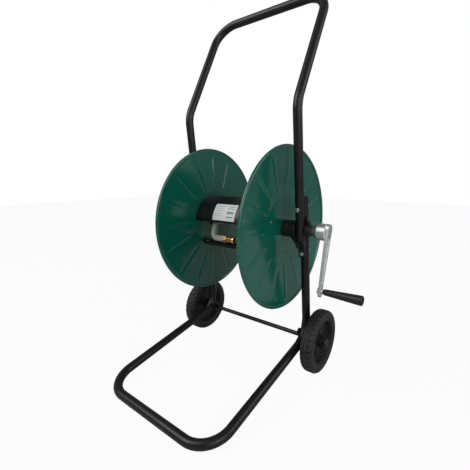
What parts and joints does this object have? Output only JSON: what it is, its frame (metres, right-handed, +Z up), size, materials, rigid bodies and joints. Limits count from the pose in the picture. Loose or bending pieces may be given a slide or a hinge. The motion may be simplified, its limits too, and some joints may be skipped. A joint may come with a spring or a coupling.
{
  "type": "hose reel cart",
  "caption": "Two-wheeled hose reel cart: bent black tube frame, dished green flanges on an open drum, side crank with a turning grip, and a swivel water inlet.",
  "frame": {"origin": "middle of the bounding box, on the floor the cart stands on", "axes": "+X along the reel axis towards the crank, +Y to the back where the wheels are, +Z up"},
  "size_m": [0.5806, 0.5708, 0.9755],
  "materials": {
    "black_tube": "satin",
    "black_sheet": "satin",
    "green_enamel": "gloss",
    "black_plastic": "matte",
    "wheel_plastic": "satin",
    "tyre_rubber": "matte",
    "cast_aluminium": "satin",
    "zinc": "satin",
    "steel": "satin",
    "brass": "satin",
    "pale_hose": "gloss",
    "paper": "matte"
  },
  "bodies": {
    "cart_frame": {"upper_handle": "black_tube", "lower_frame": "black_tube", "tube_plug_left": "black_plastic", "bearing_bracket_left": "black_plastic", "bearing_cap_left": "black_plastic", "upper_bolt_left": "zinc", "lower_bolt_left": "zinc", "upper_nut_left": "zinc", "lower_nut_left": "zinc", "axle_lug_left": "black_tube", "axle_spacer_left": "black_plastic", "axle_cap_left": "black_plastic", "tube_plug_right": "black_plastic", "bearing_bracket_right": "black_plastic", "bearing_cap_right": "black_plastic", "upper_bolt_right": "zinc", "lower_bolt_right": "zinc", "upper_nut_right": "zinc", "lower_nut_right": "zinc", "axle_lug_right": "black_tube", "axle_spacer_right": "black_plastic", "axle_cap_right": "black_plastic", "axle_rod": "black_tube"},
    "reel": {"flange_left": "green_enamel", "flange_right": "green_enamel", "drum_plate_front": "black_sheet", "drum_plate_lower": "black_sheet", "drum_plate_rear": "black_sheet", "drum_screw_left_1": "zinc", "drum_screw_left_2": "zinc", "drum_screw_left_3": "zinc", "drum_screw_left_4": "zinc", "drum_screw_left_5": "zinc", "drum_screw_left_6": "zinc", "drum_screw_right_1": "zinc", "drum_screw_right_2": "zinc", "drum_screw_right_3": "zinc", "drum_screw_right_4": "zinc", "drum_screw_right_5": "zinc", "drum_screw_right_6": "zinc", "label_plate": "paper", "hub_sleeve_left": "black_plastic", "hub_sleeve_right": "black_plastic", "crank_shaft": "steel", "inlet_spindle": "brass", "inner_hose": "pale_hose", "hose_connector": "brass", "crank_arm": "cast_aluminium", "set_screw": "zinc", "grip_pin": "zinc"},
    "grip": {"crank_grip": "black_plastic"},
    "wheel_left": {"tyre_left": "tyre_rubber", "wheel_rim_left": "wheel_plastic"},
    "wheel_right": {"tyre_right": "tyre_rubber", "wheel_rim_right": "wheel_plastic"},
    "inlet": {"inlet_swivel": "brass", "tap_connector": "black_plastic"}
  },
  "joints": [
    {"name": "reel_spin", "type": "hinge", "parent": "cart_frame", "child": "reel", "pos_m": [-0.0527, 0.0754, 0.394], "axis": [1, 0, 0], "continuous": true},
    {"name": "grip_spin", "type": "hinge", "parent": "reel", "child": "grip", "pos_m": [0.2443, 0.04272, 0.25787], "axis": [1, 0, 0], "continuous": true},
    {"name": "wheel_left_spin", "type": "hinge", "parent": "cart_frame", "child": "wheel_left", "pos_m": [-0.2643, 0.1207, 0.085], "axis": [1, 0, 0], "continuous": true},
    {"name": "wheel_right_spin", "type": "hinge", "parent": "cart_frame", "child": "wheel_right", "pos_m": [0.1589, 0.1207, 0.085], "axis": [1, 0, 0], "continuous": true},
    {"name": "inlet_swivel_turn", "type": "hinge", "parent": "cart_frame", "child": "inlet", "pos_m": [-0.2777, 0.0754, 0.394], "axis": [1, 0, 0], "continuous": true}
  ]
}
